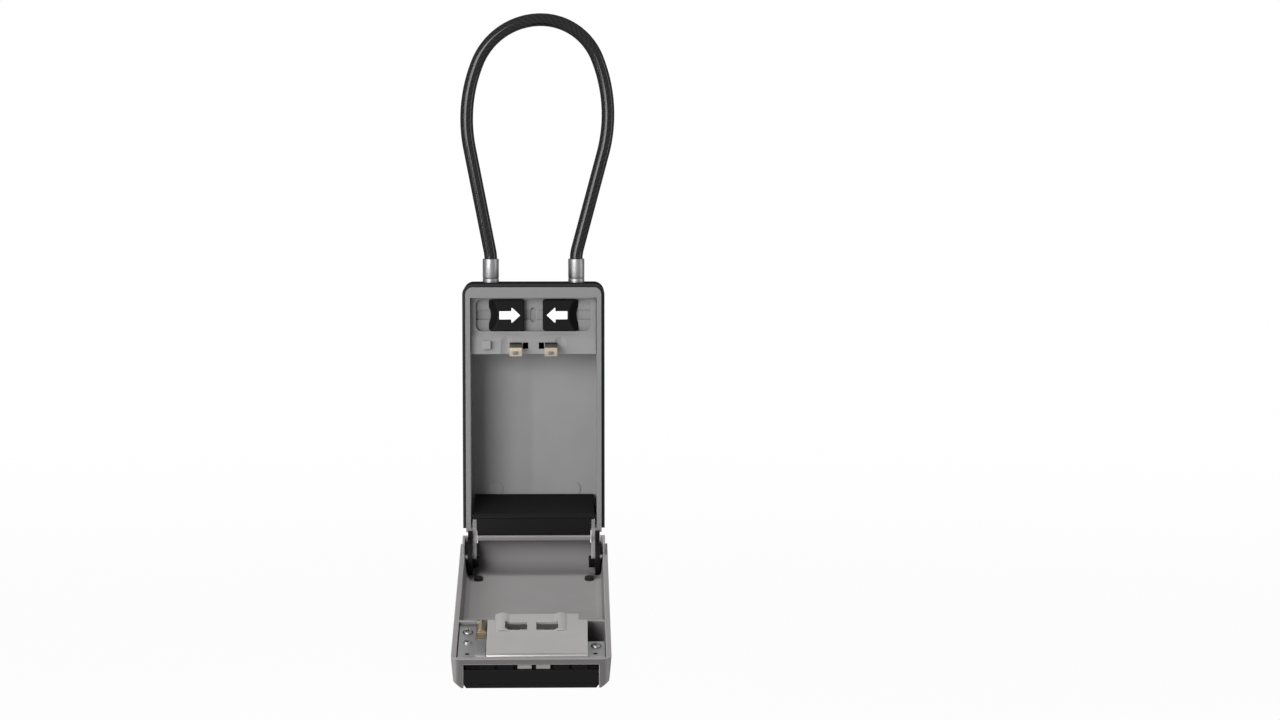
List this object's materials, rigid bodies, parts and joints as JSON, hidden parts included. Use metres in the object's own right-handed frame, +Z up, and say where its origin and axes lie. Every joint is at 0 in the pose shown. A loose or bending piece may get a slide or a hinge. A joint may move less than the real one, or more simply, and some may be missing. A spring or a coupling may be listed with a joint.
{
  "type": "key lock box",
  "caption": "Portable key lock box with a cable shackle, drop-down door tray, number dials, sliding dial shutter and sprung shackle releases.",
  "frame": {"origin": "middle of the jacket's flat back face", "axes": "+Z up toward the cable loop, -Y out of the front, +X to the right seen from the front"},
  "size_m": [0.0873, 0.1887, 0.3523],
  "materials": {
    "jacket_black": "soft satin",
    "housing_grey": "satin powder coat",
    "door_grey": "satin cast metal",
    "black_plastic": "fine texture",
    "shutter_black": "satin",
    "dial_black": "satin",
    "arrow_white": "satin",
    "cable_black": "gloss vinyl over steel strands",
    "ferrule_chrome": "bright",
    "steel": "zinc plated",
    "nickel": "nickel plated",
    "zinc": "bright zinc",
    "brass": "satin",
    "bumper_rubber": "matte"
  },
  "bodies": {
    "housing": {"jacket": "jacket_black", "housing_shell": "housing_grey", "release_panel": "housing_grey", "strike_left": "nickel", "strike_right": "nickel", "ferrule_left": "ferrule_chrome", "ferrule_right": "ferrule_chrome", "cable": "cable_black", "hinge_cover": "black_plastic", "hinge_arm_left": "door_grey", "hinge_arm_right": "door_grey", "hinge_bush_left": "black_plastic", "hinge_bush_right": "black_plastic", "spring_left": "steel", "spring_right": "steel"},
    "left_release": {"slider_left": "black_plastic", "arrow_left": "arrow_white", "lock_plate_left": "steel"},
    "right_release": {"slider_right": "black_plastic", "arrow_right": "arrow_white", "lock_plate_right": "steel"},
    "door": {"door_shell": "door_grey", "hinge_pin_left": "steel", "hinge_pin_right": "steel", "door_bumpers": "bumper_rubber", "dial_case": "black_plastic", "shaft_saddles": "arrow_white", "lock_chassis": "zinc", "chassis_screws": "zinc", "lock_cover": "door_grey", "dial_shaft": "steel", "detent_spring": "steel"},
    "latch": {"latch_plate": "steel", "release_knob": "black_plastic"},
    "reset": {"reset_lever": "brass"},
    "shutter_cover": {"shutter": "shutter_black"},
    "first_dial": {"dial_1": "dial_black"},
    "second_dial": {"dial_2": "dial_black"},
    "third_dial": {"dial_3": "dial_black"},
    "fourth_dial": {"dial_4": "dial_black"}
  },
  "joints": [
    {"name": "door_hinge", "type": "hinge", "parent": "housing", "child": "door", "pos_m": [0, -0.038, -0.0838], "axis": [1, 0, 0], "range_deg": [-103, 0]},
    {"name": "left_release_push", "type": "slide", "parent": "housing", "child": "left_release", "axis": [1, 0, 0], "range_m": [0, 0.004], "stiffness_N_per_m": 400, "springref_m": -0.004, "deforming": ["spring_left"]},
    {"name": "right_release_push", "type": "slide", "parent": "housing", "child": "right_release", "axis": [-1, 0, 0], "range_m": [0, 0.004], "stiffness_N_per_m": 400, "springref_m": -0.004, "deforming": ["spring_right"]},
    {"name": "latch_slide", "type": "slide", "parent": "door", "child": "latch", "axis": [0, 0.9744, 0.225], "range_m": [0, 0.0042], "stiffness_N_per_m": 500, "springref_m": -0.004},
    {"name": "reset_slide", "type": "slide", "parent": "door", "child": "reset", "axis": [0, 0.9744, 0.225], "range_m": [0, 0.004]},
    {"name": "shutter_slide", "type": "slide", "parent": "door", "child": "shutter_cover", "axis": [0, 0.9744, 0.225], "range_m": [0, 0.034]},
    {"name": "first_dial_turn", "type": "hinge", "parent": "door", "child": "first_dial", "pos_m": [-0.0186, -0.16847, -0.11792], "axis": [1, 0, 0], "continuous": true},
    {"name": "second_dial_turn", "type": "hinge", "parent": "door", "child": "second_dial", "pos_m": [-0.009, -0.16847, -0.11792], "axis": [1, 0, 0], "continuous": true},
    {"name": "third_dial_turn", "type": "hinge", "parent": "door", "child": "third_dial", "pos_m": [0.0006, -0.16847, -0.11792], "axis": [1, 0, 0], "continuous": true},
    {"name": "fourth_dial_turn", "type": "hinge", "parent": "door", "child": "fourth_dial", "pos_m": [0.0102, -0.16847, -0.11792], "axis": [1, 0, 0], "continuous": true}
  ]
}
